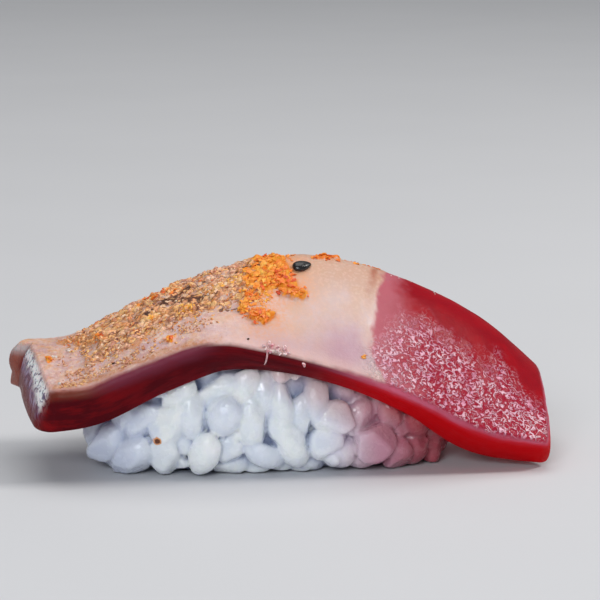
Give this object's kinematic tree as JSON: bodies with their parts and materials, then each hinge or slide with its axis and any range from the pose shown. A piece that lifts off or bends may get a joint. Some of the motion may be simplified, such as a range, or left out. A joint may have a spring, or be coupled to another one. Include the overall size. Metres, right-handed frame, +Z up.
{
  "type": "tuna nigiri",
  "caption": "Nigiri sushi: a slice of tuna, seared at one end and raw at the other, draped over a pressed mound of rice, with chili flakes and a black sesame seed.",
  "frame": {"origin": "on the flat foot of the rice, near its middle, at table height under the highest stretch of the slice", "axes": "+X along the slice towards its raw end, +Y away from the side that shows its cut face, +Z up"},
  "size_m": [0.0789, 0.028, 0.0294],
  "materials": {
    "rice": "moist, slightly translucent bluish-white cooked rice",
    "tuna": "moist tuna flesh: seared pale cream and tan at one end, glistening raw red at the other"
  },
  "bodies": {
    "root": {"rice": "rice", "tuna_slice": "tuna"}
  },
  "joints": []
}
